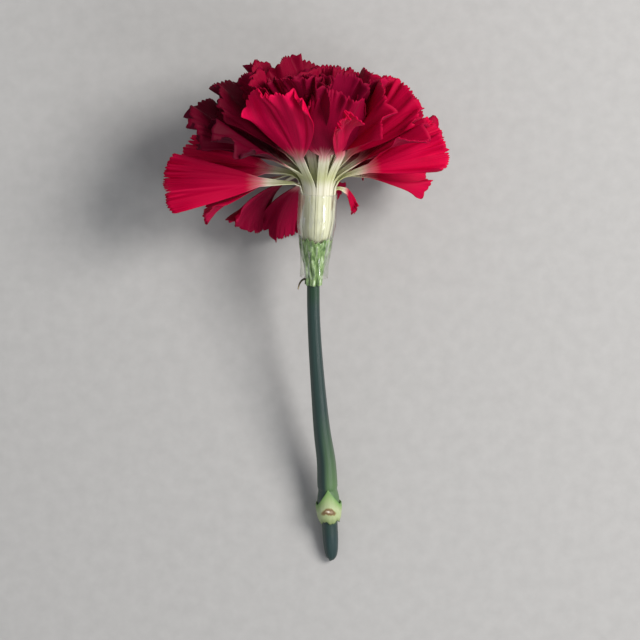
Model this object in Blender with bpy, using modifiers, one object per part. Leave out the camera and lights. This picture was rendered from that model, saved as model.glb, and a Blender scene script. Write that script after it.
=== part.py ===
"""A cut carnation, lying on its side: a fan of ruffled crimson petals whose pale claws are held in one
bundle by a clear tape sleeve, the torn green base of the calyx, and a short stem with one node.

The axes are metres with +Z up. The flower points along +Y, its stem runs back along -Y, and the middle
of its box stands over the origin. Every petal is one thin sheet, bent from a flat grid.
"""

import math

import bmesh
import bpy
from mathutils import Euler, Vector

# Driving dimensions, in metres and degrees.
MOUTH_HEIGHT = 0.030  # the middle of the claw bundle, where the petals part, above the surface
HEAD_TILT = 12.0  # the flower's axis rises towards the head
HEAD_LEAN = 3.0  # and swings a little to the right of +Y
PETAL_THICKNESS = 0.0003
GAP = 0.0003  # between pieces that touch on the real flower

CLAW_FOOT = -0.0155  # the claws' lower ends, measured from the mouth along the axis
CLAW_NECK = -0.0126  # where the bundle has drawn in, at the calyx rim
CLAW_SHOULDER = -0.0095  # where it starts to draw in
NECK_SHARE = 0.78
FOOT_SHARE = 0.66
CLAW_BEND = 0.6  # share of a claw over which it swings out to its petal's direction
CLAW_END_WIDTH = 0.0032  # where the claw widens into the blade

SLEEVE_RADIUS = 0.0056
SLEEVE_WALL = 0.00025
CALYX_END = -0.0263

# The petals, ring by ring from the heart outwards. Each ring has the radius of its claws in the bundle,
# their width there, and their length from the mouth to the blade. Each petal has its claw's place round
# the bundle, in degrees from +X towards +Z, its aim seen from above (share to the right, share
# forwards, and whether it rises or drops), the twist of its blade in degrees, the blade's length and
# the half angle of its fan.
RINGS = {
    "heart_petal": (0.0012, 0.0008, 0.0135),
    "inner_petal": (0.0021, 0.0009, 0.0135),
    "middle_petal": (0.0030, 0.0010, 0.0135),
    "outer_petal": (0.0039, 0.0011, 0.0135),
    "guard_petal": (0.0047, 0.0010, 0.0135),
    "stray_petal": (0.0047, 0.0010, 0.0045),
}
RISES, DROPS = 1, -1
PETALS = {
    "heart_petal": (
        (30, (0.10, 0.985), RISES, 0, 0.025, 11),
        (102, (-0.03, 0.97), RISES, 10, 0.024, 14),
        (174, (-0.16, 0.985), RISES, 10, 0.025, 14),
        (246, (-0.06, 0.98), DROPS, 10, 0.025, 14),
        (318, (0.12, 0.985), DROPS, -10, 0.025, 14),
    ),
    "inner_petal": (
        (20, (0.35, 0.90), RISES, -12, 0.025, 15),
        (65, (0.15, 0.91), RISES, -8, 0.024, 13),
        (110, (-0.11, 0.88), RISES, 8, 0.024, 14),
        (158, (-0.42, 0.90), RISES, 0, 0.026, 16),
        (203, (-0.34, 0.92), DROPS, 12, 0.026, 18),
        (248, (-0.16, 0.90), DROPS, 12, 0.025, 18),
        (293, (0.12, 0.92), DROPS, -12, 0.025, 18),
        (338, (0.36, 0.91), DROPS, -12, 0.025, 18),
    ),
    "middle_petal": (
        (5, (0.62, 0.76), RISES, -12, 0.025, 20),
        (36, (0.42, 0.82), RISES, -12, 0.025, 18),
        (74, (0.14, 0.83), RISES, -8, 0.024, 14),
        (108, (-0.15, 0.77), RISES, 4, 0.025, 15),
        (142, (-0.43, 0.79), RISES, 4, 0.026, 13),
        (176, (-0.68, 0.72), RISES, 12, 0.028, 20),
        (206, (-0.60, 0.76), DROPS, 12, 0.026, 20),
        (238, (-0.36, 0.74), DROPS, 12, 0.026, 20),
        (270, (-0.04, 0.72), DROPS, 12, 0.026, 20),
        (302, (0.30, 0.78), DROPS, -12, 0.026, 20),
        (334, (0.56, 0.78), DROPS, -12, 0.026, 20),
    ),
    "outer_petal": (
        (22, (0.80, 0.50), RISES, -12, 0.025, 18),
        (50, (0.33, 0.68), RISES, -24, 0.024, 16),
        (80, (0.09, 0.70), RISES, -8, 0.024, 19),
        (114, (-0.33, 0.68), RISES, 12, 0.026, 24),
        (146, (-0.66, 0.36), RISES, 12, 0.024, 22),
        (174, (-0.84, 0.52), RISES, 12, 0.028, 20),
        (202, (-0.80, 0.46), DROPS, 12, 0.025, 20),
        (230, (-0.56, 0.44), DROPS, 12, 0.024, 19),
        (258, (-0.20, 0.40), DROPS, 12, 0.023, 17),
        (286, (0.20, 0.50), DROPS, -12, 0.023, 20),
        (314, (0.56, 0.50), DROPS, -12, 0.024, 20),
        (344, (0.78, 0.56), DROPS, -12, 0.025, 20),
    ),
    "guard_petal": (
        (12, (0.94, 0.27), RISES, -70, 0.023, 17),
        (168, (-0.99, 0.03), RISES, 75, 0.028, 15),
        (188, (-0.96, 0.16), DROPS, 12, 0.024, 18),
        (208, (-0.86, -0.20), DROPS, 20, 0.020, 20),
        (229, (-0.58, -0.28), DROPS, 12, 0.021, 20),
        (250, (-0.32, -0.44), DROPS, 0, 0.022, 18),
        (272, (0.02, 0.0), DROPS, -8, 0.020, 16),
        (294, (0.35, 0.20), DROPS, -12, 0.019, 16),
        (316, (0.64, 0.12), DROPS, -12, 0.020, 20),
        (338, (0.90, 0.04), DROPS, -40, 0.020, 18),
    ),
    "stray_petal": ((355, (0.90, -0.36), DROPS, -40, 0.008, 14),),
}
BUNDLE_LEVELS = (CLAW_FOOT, CLAW_NECK, CLAW_SHOULDER, 0.0)
CLAW_SHARES = (0.18, 0.36, 0.62, 1.0)
BLADE_LEVELS = 4
ACROSS = 4

# The stem: its course to the node as (right of the mouth, back from it, height) with a radius, and its
# swelling through the node as (level along the stem, radius).
STEM_COURSE = (
    ((-0.0013, -0.0267, 0.0243), 0.0018),
    ((-0.0012, -0.0350, 0.0222), 0.0018),
    ((-0.0007, -0.0450, 0.0195), 0.0019),
    ((0.0002, -0.0570, 0.0162), 0.0021),
    ((0.0012, -0.0680, 0.0129), 0.0024),
)
NODE = Vector((0.0031, -0.0903, 0.0059))
NODE_SLOPE = 16.0
NODE_SWING = -3.0
NODE_COURSE = (
    (0.0140, 0.0027),
    (0.0070, 0.0029),
    (0.0052, 0.0027),
    (0.0028, 0.0031),
    (0.0, 0.0032),
    (-0.0028, 0.0028),
    (-0.0048, 0.0023),
    (-0.0100, 0.0022),
    (-0.0135, 0.0019),
    (-0.0168, 0.0013),
)
SHEATH_WALL = 0.0003
SHEATH_COURSE = ((0.0055, 0.0033), (0.0028, 0.0037), (0.0, 0.0038), (-0.0028, 0.0034), (-0.0046, 0.0029))

# The scrap of bract that hooks out below the sleeve: (out from the axis, level) and its half width.
SCRAP_COURSE = ((0.0024, -0.0250), (0.0033, -0.0253), (0.0040, -0.0264), (0.0043, -0.0281))
SCRAP_WIDTHS = (0.0009, 0.0009, 0.0007, 0.0003)
SCRAP_THICKNESS = 0.0004


def clear_scene():
    for item in list(bpy.data.objects):
        bpy.data.objects.remove(item)


def smooth(share):
    share = min(max(share, 0.0), 1.0)
    return share * share * (3 - 2 * share)


def head_rotation():
    return Euler((math.radians(HEAD_TILT), 0.0, -math.radians(HEAD_LEAN))).to_matrix()


def aimed(right, forwards, rises):
    """The unit direction, in the head's own axes, that looks like this from above."""
    up = rises * math.sqrt(max(0.0, 1 - right * right - forwards * forwards))
    return (head_rotation().transposed() @ Vector((right, forwards, up))).normalized()


def height(point):
    """A point of the head's own axes, as a height above the surface."""
    return MOUTH_HEIGHT + (head_rotation() @ point).z


def bundle_share(level):
    """How far the bundle of claws has drawn in at this level of the axis."""
    if level >= CLAW_SHOULDER:
        return 1.0
    if level >= CLAW_NECK:
        return 1 - (1 - NECK_SHARE) * (CLAW_SHOULDER - level) / (CLAW_SHOULDER - CLAW_NECK)
    return NECK_SHARE - (NECK_SHARE - FOOT_SHARE) * (CLAW_NECK - level) / (CLAW_NECK - CLAW_FOOT)


class Petal:
    """The middle line of one petal and the directions across it."""

    STEP = 0.0005

    def __init__(self, ring, slot, aim, rises, twist, blade, fan, curl=0.0):
        self.radius, self.claw_width, self.claw = RINGS[ring]
        self.slot = math.radians(slot)
        direction = aimed(*aim, rises)
        self.polar = math.acos(direction.y)
        self.azimuth = math.atan2(direction.z, direction.x)
        turn = self.azimuth - self.slot
        self.azimuth -= 2 * math.pi * round(turn / (2 * math.pi))
        self.twist = math.radians(twist)
        self.blade = blade
        self.fan = math.radians(fan)
        self.curl = curl
        self.line = self.walk()

    def course(self, level):
        """The direction of the middle line, and the two directions square to it."""
        swing = smooth(level / (self.claw * CLAW_BEND))
        azimuth = self.slot + (self.azimuth - self.slot) * swing
        in_blade = max(0.0, (level - self.claw) / self.blade)
        polar = self.polar * swing + self.curl * in_blade**1.2
        out = Vector((math.cos(azimuth), 0.0, math.sin(azimuth)))
        along = out * math.sin(polar) + Vector((0, math.cos(polar), 0))
        across = Vector((-math.sin(azimuth), 0.0, math.cos(azimuth)))
        face = across.cross(along)
        twist = self.twist * smooth(level / (self.claw + 0.4 * self.blade))
        return along, across * math.cos(twist) + face * math.sin(twist)

    def walk(self):
        start = Vector((math.cos(self.slot), 0.0, math.sin(self.slot))) * self.radius
        points = [start]
        for i in range(round((self.claw + self.blade) / self.STEP) + 1):
            points.append(points[-1] + self.course((i + 0.5) * self.STEP)[0] * self.STEP)
        return points

    def middle(self, level):
        if level <= 0:
            return self.line[0] * bundle_share(level) + Vector((0, level, 0))
        place = min(level / self.STEP, len(self.line) - 1.001)
        i = int(place)
        return self.line[i].lerp(self.line[i + 1], place - i)

    def half_width(self, level):
        grown = smooth(level / self.claw)
        start = self.claw_width * bundle_share(level)
        return (start + (CLAW_END_WIDTH - start) * grown) / 2

    def rows(self):
        """The sheet, as rows of points from the claw's foot to the blade's margin."""
        sides = [2 * i / ACROSS - 1 for i in range(ACROSS + 1)]
        found = []
        for level in (*BUNDLE_LEVELS, *(self.claw * share for share in CLAW_SHARES)):
            across = self.course(level)[1] * self.half_width(level)
            found.append([self.middle(level) + across * side for side in sides])
        for i in range(BLADE_LEVELS):
            reach = self.blade * (i + 1) / BLADE_LEVELS
            row = []
            for side in sides:
                angle = self.fan * side
                level = self.claw + reach * math.cos(angle)
                out = reach * math.sin(angle) + side * CLAW_END_WIDTH / 2
                row.append(self.middle(level) + self.course(level)[1] * out)
            found.append(row)
        return found


def settled(ring, values):
    """The petal's rows, curled just enough to lie on the surface where it would pass through it."""
    lowest = PETAL_THICKNESS / 2
    backwards = 1 if ring == "guard_petal" else -1
    least, most = 0.0, math.radians(100)
    rows = Petal(ring, *values).rows()
    if min(height(point) for row in rows for point in row) >= lowest:
        return rows
    for _ in range(14):
        curl = (least + most) / 2
        rows = Petal(ring, *values, curl=backwards * curl).rows()
        if min(height(point) for row in rows for point in row) < lowest:
            least = curl
        else:
            most = curl
    return rows


def material(name, colour, roughness):
    made = bpy.data.materials.new(name)
    made.use_nodes = True
    shader = made.node_tree.nodes["Principled BSDF"]
    shader.inputs["Base Color"].default_value = (*colour, 1)
    shader.inputs["Roughness"].default_value = roughness
    shader.inputs["Metallic"].default_value = 0.0
    return made


def placed(name, mesh, looks, collection, parent=None):
    piece = bpy.data.objects.new(name, mesh)
    collection.objects.link(piece)
    piece.parent = parent
    mesh.materials.append(looks)
    mesh.shade_smooth()
    return piece


def sheet_piece(name, rows, thickness, looks, collection, parent):
    """A flat grid laid onto rows of points, then given its thickness."""
    across = len(rows[0]) - 1
    shape = bmesh.new()
    bmesh.ops.create_grid(shape, x_segments=len(rows) - 1, y_segments=across, size=1)
    for vertex in shape.verts:
        row = round((vertex.co.x + 1) / 2 * (len(rows) - 1))
        column = round((vertex.co.y + 1) / 2 * across)
        vertex.co = rows[row][column]
    mesh = bpy.data.meshes.new(name)
    shape.to_mesh(mesh)
    shape.free()
    piece = placed(name, mesh, looks, collection, parent)
    solid = piece.modifiers.new("thickness", "SOLIDIFY")
    solid.thickness = thickness
    solid.offset = 0
    return piece


def turned_piece(name, profile, steps, looks, collection, parent):
    """A closed (radius, level) outline turned about the head's axis. It runs top to bottom outside."""
    mesh = bpy.data.meshes.new(name)
    corners = [(radius, 0.0, level) for radius, level in profile]
    closing = [] if profile[0][0] == 0 and profile[-1][0] == 0 else [(len(corners) - 1, 0)]
    mesh.from_pydata(corners, [(i, i + 1) for i in range(len(corners) - 1)] + closing, [])
    piece = placed(name, mesh, looks, collection, parent)
    piece.rotation_euler.x = -math.pi / 2
    turn = piece.modifiers.new("turn", "SCREW")
    turn.steps = turn.render_steps = steps
    turn.use_merge_vertices = True
    turn.merge_threshold = 0.00001
    return piece


def sleeve_profile():
    """The tape: straight round the claws, then drawn in loosely over the calyx."""
    outside = (
        (SLEEVE_RADIUS, 0.0),
        (SLEEVE_RADIUS, CLAW_SHOULDER),
        (0.0050, -0.0128),
        (0.0041, -0.0190),
        (0.0039, -0.0243),
    )
    inside = [(radius - SLEEVE_WALL, level) for radius, level in reversed(outside)]
    return (*outside, *inside)


def calyx_profile():
    """The torn cup that holds the claws' feet, and the solid base below it."""
    rim = CLAW_NECK - GAP
    floor = CLAW_FOOT - GAP
    return (
        (0.0, floor),
        (0.0036, floor),
        (0.0041, rim),
        (0.0045, rim),
        (0.0040, floor),
        (0.0029, -0.0200),
        (0.0022, -0.0240),
        (0.0021, CALYX_END),
        (0.0, CALYX_END),
    )


def sheath_profile():
    inside = [(radius - SHEATH_WALL, level) for level, radius in reversed(SHEATH_COURSE)]
    return (*((radius, level) for level, radius in SHEATH_COURSE), *inside)


def stem_points():
    """The stem's middle line with its radii, from the calyx to the cut end."""
    slope, swing = math.radians(NODE_SLOPE), math.radians(NODE_SWING)
    along = Vector((math.sin(swing) * math.cos(slope), math.cos(swing) * math.cos(slope), math.sin(slope)))
    return [(Vector(point), radius) for point, radius in STEM_COURSE] + [
        (NODE + along * level, radius) for level, radius in NODE_COURSE
    ]


def stem_piece(looks, collection, parent):
    """A tube whose radius follows the stem."""
    line = bpy.data.curves.new("stem", "CURVE")
    line.dimensions = "3D"
    line.bevel_depth = 1.0
    line.bevel_resolution = 4
    line.use_fill_caps = True
    course = stem_points()
    spline = line.splines.new("POLY")
    spline.points.add(len(course) - 1)
    for knot, (point, radius) in zip(spline.points, course):
        knot.co = (*point, 1)
        knot.radius = radius
    line.materials.append(looks)
    piece = bpy.data.objects.new("stem", line)
    collection.objects.link(piece)
    piece.parent = parent
    return piece


def scrap_rows():
    return [
        [Vector((-out, level, half * side)) for side in (-1, 0, 1)]
        for (out, level), half in zip(SCRAP_COURSE, SCRAP_WIDTHS)
    ]


def stand_on_origin(root, pieces):
    """Moves the whole flower so that its box stands over the origin."""
    bpy.context.view_layer.update()
    graph = bpy.context.evaluated_depsgraph_get()
    corners = []
    for piece in pieces:
        shown = piece.evaluated_get(graph)
        corners += [shown.matrix_world @ vertex.co for vertex in shown.to_mesh().vertices]
        shown.to_mesh_clear()
    low = [min(corner[axis] for corner in corners) for axis in range(3)]
    high = [max(corner[axis] for corner in corners) for axis in range(3)]
    root.location = (-(low[0] + high[0]) / 2, -(low[1] + high[1]) / 2, -low[2])


def main():
    clear_scene()
    parts = bpy.data.collections.new("cut_carnation")
    bpy.context.scene.collection.children.link(parts)
    root = bpy.data.objects.new("flower", None)
    head = bpy.data.objects.new("head", None)
    node = bpy.data.objects.new("node", None)
    for empty in (root, head, node):
        parts.objects.link(empty)
    head.parent = node.parent = root
    head.location = (0, 0, MOUTH_HEIGHT)
    head.rotation_euler = (math.radians(HEAD_TILT), 0.0, -math.radians(HEAD_LEAN))
    node.location = NODE
    node.rotation_euler = (math.radians(NODE_SLOPE), 0.0, -math.radians(NODE_SWING))

    crimson = material("crimson_petal", (0.50, 0.004, 0.045), 0.6)
    green = material("calyx_green", (0.10, 0.16, 0.06), 0.4)
    clear = material("clear_tape", (0.85, 0.88, 0.82), 0.1)
    blue_green = material("stem_green", (0.04, 0.09, 0.08), 0.5)
    pale = material("sheath_pale_green", (0.35, 0.45, 0.25), 0.5)

    pieces = []
    for ring, petals in PETALS.items():
        for number, values in enumerate(petals, 1):
            name = f"{ring}_{number:02d}"
            rows = settled(ring, values)
            pieces.append(sheet_piece(name, rows, PETAL_THICKNESS, crimson, parts, head))
    pieces.append(turned_piece("calyx_base", calyx_profile(), 24, green, parts, head))
    pieces.append(turned_piece("clear_tape_sleeve", sleeve_profile(), 32, clear, parts, head))
    pieces.append(sheet_piece("bract_scrap", scrap_rows(), SCRAP_THICKNESS, green, parts, head))
    pieces.append(stem_piece(blue_green, parts, root))
    pieces.append(turned_piece("leaf_sheath", sheath_profile(), 24, pale, parts, node))
    stand_on_origin(root, pieces)


main()
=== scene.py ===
# %% [markdown]
# # A cut carnation, lying on its side
#
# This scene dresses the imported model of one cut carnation. The model has the right size and the right
# pieces, but each petal in it is a plain bent sheet. Here every sheet gets its ruffles, its pinked
# margin and its colours, and the stem, the torn calyx and the clear tape get theirs.
# Lengths are metres and +Z is up. The flower points along +Y.

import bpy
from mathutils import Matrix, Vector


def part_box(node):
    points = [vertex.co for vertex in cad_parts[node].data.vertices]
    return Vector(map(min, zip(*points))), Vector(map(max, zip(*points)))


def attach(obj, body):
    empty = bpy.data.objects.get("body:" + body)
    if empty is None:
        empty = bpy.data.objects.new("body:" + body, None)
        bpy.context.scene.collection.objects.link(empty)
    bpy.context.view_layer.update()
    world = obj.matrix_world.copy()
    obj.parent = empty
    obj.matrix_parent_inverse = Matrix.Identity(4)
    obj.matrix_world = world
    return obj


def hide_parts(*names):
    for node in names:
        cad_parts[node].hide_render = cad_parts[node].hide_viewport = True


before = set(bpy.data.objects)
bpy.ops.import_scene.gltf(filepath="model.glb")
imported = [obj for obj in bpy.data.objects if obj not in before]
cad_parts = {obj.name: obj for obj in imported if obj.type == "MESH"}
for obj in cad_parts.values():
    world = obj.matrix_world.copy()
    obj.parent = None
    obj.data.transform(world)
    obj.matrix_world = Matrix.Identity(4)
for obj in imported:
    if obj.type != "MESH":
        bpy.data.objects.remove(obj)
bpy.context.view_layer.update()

# %% [markdown]
# Everything below uses numpy for the shapes, because a petal is a grid of a few thousand points and
# the same few formulas move all of them. Random choices come from one seeded source, so the flower
# is the same every time.

# %% Tools
import math

import bpy
import numpy as np
from mathutils import Vector

MM = 0.001
chance = np.random.default_rng(27)


def smooth(share):
    """Rises from 0 to 1 as share does, with a soft start and a soft end."""
    share = np.clip(share, 0.0, 1.0)
    return share * share * (3 - 2 * share)


def linear(colour):
    """A colour such as #b4002a as the linear values that a shader takes."""
    parts = [int(colour[i : i + 2], 16) / 255 for i in (1, 3, 5)]
    return [p / 12.92 if p <= 0.04045 else ((p + 0.055) / 1.055) ** 2.4 for p in parts] + [1.0]


print("half way up a soft rise:", float(smooth(0.5)), "mid grey as a linear value:", linear("#808080")[0])

# %% [markdown]
# The flower has an axis of its own: it rises a little towards the head and swings a little to the
# right. The petals are worked out in that frame, with Y along the axis, and then turned into the
# world. The tape sleeve is a plain round tube about that axis, so the mouth of the bundle can be
# found from the far corner of its box.

# %% Find the flower's axis
HEAD_TILT, HEAD_LEAN = math.radians(12.0), math.radians(3.0)
SLEEVE_RADIUS = 5.6 * MM
MOUTH_HEIGHT = 30 * MM


def direction(rise, swing):
    """The way that +Y points after it swings to the right and rises by these angles."""
    flat = math.cos(rise)
    return np.array([math.sin(swing) * flat, math.cos(swing) * flat, math.sin(rise)])


axis = direction(HEAD_TILT, HEAD_LEAN)
right = np.array([math.cos(HEAD_LEAN), -math.sin(HEAD_LEAN), 0.0])
up = np.cross(right, axis)
head = np.stack([right, axis, up])  # its rows turn head coordinates into world ones
ring_reach = SLEEVE_RADIUS * np.sqrt(1 - axis**2)
mouth = np.array(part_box("clear_tape_sleeve")[1]) - ring_reach
surface = mouth[2] - MOUTH_HEIGHT
print("mouth of the bundle at", mouth.round(4), "surface at", round(surface, 5))

# %% [markdown]
# ## The petals
#
# A carnation's petal is a long narrow claw that opens into a fan-shaped blade. The claws stand side by
# side in one bundle, and each one swings out of it towards its own direction. They stand in five rings,
# and one small stray petal is folded down beside the bundle.
#
# The petals could be sculpted one by one, but 47 of them would take days and none could be put right
# later. Here each petal is one row of numbers, so a petal that looks wrong is one row to change.
# RINGS gives how far a ring's claws stand from the middle of the bundle, how wide the shown claws are
# there, and how long they are above its mouth, all in millimetres. The shown claws are wider than the
# packed ones, so that they close up as real ones do. Each row of PETALS gives the claw's place round
# the bundle in degrees, where the petal aims as seen from above (right, then forwards, as parts of 1),
# whether it rises or drops, its turn about its own middle line in degrees, its blade's length in
# millimetres and half its fan in degrees.

# %% Where each petal goes
CLAW_FOOT, CLAW_NECK, CLAW_SHOULDER = -15.5 * MM, -12.6 * MM, -9.5 * MM
NECK_SHARE, FOOT_SHARE = 0.78, 0.66
CLAW_END_WIDTH = 3.2 * MM
RINGS = {
    "heart_petal": (1.2, 1.0, 13.5),
    "inner_petal": (2.1, 1.2, 13.5),
    "middle_petal": (3.0, 1.5, 13.5),
    "outer_petal": (4.5, 2.5, 13.5),
    "guard_petal": (4.9, 2.3, 13.5),
    "stray_petal": (4.7, 2.0, 4.5),
}
RISES, DROPS = 1, -1
PETALS = {
    "heart_petal": (
        (30, (0.10, 0.985), RISES, 0, 25, 11),
        (102, (-0.03, 0.97), RISES, 10, 24, 14),
        (174, (-0.16, 0.985), RISES, 10, 25, 14),
        (246, (-0.06, 0.98), DROPS, 10, 25, 14),
        (318, (0.12, 0.985), DROPS, -10, 25, 14),
    ),
    "inner_petal": (
        (20, (0.35, 0.90), RISES, -12, 25, 15),
        (65, (0.15, 0.91), RISES, -8, 24, 13),
        (110, (-0.11, 0.88), RISES, 8, 24, 14),
        (158, (-0.42, 0.90), RISES, 0, 26, 16),
        (203, (-0.34, 0.92), DROPS, 12, 26, 18),
        (248, (-0.16, 0.90), DROPS, 12, 25, 18),
        (293, (0.12, 0.92), DROPS, -12, 25, 18),
        (338, (0.36, 0.91), DROPS, -12, 25, 18),
    ),
    "middle_petal": (
        (5, (0.62, 0.76), RISES, -12, 25, 20),
        (36, (0.42, 0.82), RISES, -12, 25, 18),
        (74, (0.14, 0.83), RISES, -8, 24, 14),
        (108, (-0.15, 0.77), RISES, 4, 25, 15),
        (142, (-0.43, 0.79), RISES, 4, 26, 13),
        (176, (-0.68, 0.72), RISES, 12, 28, 20),
        (206, (-0.60, 0.76), DROPS, 12, 26, 20),
        (238, (-0.36, 0.74), DROPS, 12, 26, 20),
        (270, (-0.04, 0.72), DROPS, 12, 26, 20),
        (302, (0.30, 0.78), DROPS, -12, 26, 20),
        (334, (0.56, 0.78), DROPS, -12, 26, 20),
    ),
    "outer_petal": (
        (22, (0.80, 0.50), RISES, -12, 25, 18),
        (50, (0.33, 0.68), RISES, -24, 24, 16),
        (80, (0.09, 0.70), RISES, -8, 24, 19),
        (114, (-0.33, 0.68), RISES, 12, 26, 24),
        (146, (-0.66, 0.36), RISES, 12, 24, 22),
        (174, (-0.84, 0.52), RISES, 12, 28, 20),
        (202, (-0.80, 0.46), DROPS, 12, 25, 20),
        (230, (-0.56, 0.44), DROPS, 12, 24, 19),
        (258, (-0.20, 0.40), DROPS, 12, 23, 17),
        (286, (0.20, 0.50), DROPS, -12, 23, 20),
        (314, (0.56, 0.50), DROPS, -12, 24, 20),
        (344, (0.78, 0.56), DROPS, -12, 25, 20),
    ),
    "guard_petal": (
        (12, (0.94, 0.27), RISES, -70, 23, 17),
        (168, (-0.99, 0.03), RISES, 75, 28, 15),
        (188, (-0.96, 0.16), DROPS, 12, 24, 18),
        (208, (-0.86, -0.20), DROPS, 20, 20, 20),
        (229, (-0.58, -0.28), DROPS, 12, 21, 20),
        (250, (-0.32, -0.44), DROPS, 0, 22, 18),
        (272, (0.02, 0.0), DROPS, -8, 20, 16),
        (294, (0.35, 0.20), DROPS, -12, 19, 16),
        (316, (0.64, 0.12), DROPS, -12, 20, 20),
        (338, (0.90, 0.04), DROPS, -40, 20, 18),
    ),
    "stray_petal": ((355, (0.90, -0.36), DROPS, -40, 8, 14),),
}
print("petals in each ring:", {ring: len(rows) for ring, rows in PETALS.items()})

# %% [markdown]
# The imported sheets are flat fans, kept narrow so that no two of them touch. A real blade is nearly as
# wide as it is long and only fits because it ruffles. So each petal here fans wider and then waves, and
# some are posed a little further than their packed sheets. A cloth simulation could ruffle them too, but
# its result can't be steered petal by petal. These are the words that steer one:
#
# - `wide` and `long` multiply its fan and its blade, and `shoulder` spreads the fan more near the neck.
# - `wave` is the height of its ruffles in millimetres, and `folds` is how many cross the blade.
# - `roll` bends its margin back (or in, below zero) in millimetres, and `round` rounds its corners.
# - `turn` swings the blade sideways at its neck, and `spin` twists it about its middle line, in degrees.
# - `bend` is the part of the claw over which it swings out of the bundle.
# - `painted_light` is painted light and shade: it goes from a dark wine of painted shade, 0, to the brightest
#   crimson of painted light, 1.

# %% How each petal ruffles
PLAIN = dict(
    wide=1.6, long=1.0, wave=1.8, folds=1.5, roll=1.5, round=0.17, shoulder=0.15, turn=0, spin=0, bend=0.6
)
# The rings deep in the flower get a lower level of painted light, which paints their shade.
RUFFLES = {
    "heart_petal": dict(wide=1.7, long=0.95, roll=1.0, painted_light=0.30),
    "inner_petal": dict(wide=1.7, long=0.96, roll=1.0, painted_light=0.32),
    "middle_petal": dict(wide=1.7, painted_light=0.45),
    "outer_petal": dict(roll=2.0, painted_light=0.50),
    "guard_petal": dict(wide=1.5, wave=1.6, painted_light=0.55),
    "stray_petal": dict(wide=0.7, wave=0.5, folds=1.0, roll=0.5, painted_light=0.60),
}
# Each petal's own level of painted light paints it bright where it faces the light and dark wine where it
# lies in shade.
OWN_RUFFLES = {
    "heart_petal_01": dict(long=0.90),
    "heart_petal_02": dict(long=0.93),
    "heart_petal_03": dict(long=1.04, wide=1.9, painted_light=0.22),
    "inner_petal_02": dict(long=0.92),
    "inner_petal_04": dict(long=1.06),
    "middle_petal_01": dict(painted_light=0.70, spin=-38, wave=1.5, folds=2.2, wide=1.5),
    "middle_petal_02": dict(painted_light=0.62, spin=-32, wave=1.5, folds=2.0, turn=12, wide=2.0),
    "middle_petal_03": dict(painted_light=0.30, long=1.04),
    "middle_petal_04": dict(painted_light=0.28, long=1.08, wave=2.2),
    "middle_petal_05": dict(painted_light=0.35, long=1.04),
    "middle_petal_06": dict(painted_light=0.10),
    "middle_petal_07": dict(painted_light=0.10),
    "outer_petal_01": dict(painted_light=0.60, long=0.88),
    "outer_petal_02": dict(painted_light=0.95, wide=0.5, turn=28, wave=1.0),
    "outer_petal_03": dict(
        painted_light=0.45, wide=1.6, shoulder=1.2, wave=1.4, round=0.3,
        roll=-2.0, turn=-8, long=0.90,
    ),
    "outer_petal_04": dict(
        painted_light=1.0, wave=2.2, folds=1.9, turn=-5, long=1.05,
        shoulder=0.9, wide=0.85, bend=0.3, spin=-26,
    ),
    "outer_petal_05": dict(painted_light=0.02, wave=2.0, turn=8),
    "outer_petal_06": dict(painted_light=0.08),
    "outer_petal_07": dict(painted_light=0.08),
    "guard_petal_01": dict(painted_light=0.88, wide=1.1, wave=1.8, round=0.08, turn=-4),
    "guard_petal_02": dict(painted_light=0.76, wide=1.05, wave=1.7, round=0.06, turn=-3, bend=0.3, long=0.97),
    "guard_petal_03": dict(painted_light=0.75, spin=62, wave=2.6, folds=2.2, wide=1.25, long=1.08),
    "guard_petal_04": dict(painted_light=0.65, turn=-18, long=1.12),
    "guard_petal_05": dict(painted_light=0.35, turn=-25),
    "guard_petal_06": dict(painted_light=0.45, long=0.94),
    "guard_petal_07": dict(long=0.85),
    "guard_petal_08": dict(long=0.75, wide=1.0),
    "guard_petal_10": dict(painted_light=0.80, turn=-16, wide=1.9, long=1.03),
    "stray_petal_01": dict(turn=55, long=0.85),
}
print("petals with ruffles of their own:", len(OWN_RUFFLES))

# %% [markdown]
# A petal's middle line starts straight along the bundle and then swings out, while the petal turns about
# it. It could be drawn as a curve for each petal. Following the direction in half-millimetre steps needs
# only the claw's place, the aim and the turn, and gives the length right however much the petal bends.
# A petal that would pass through the surface curls up more, until it lies on it.

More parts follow.
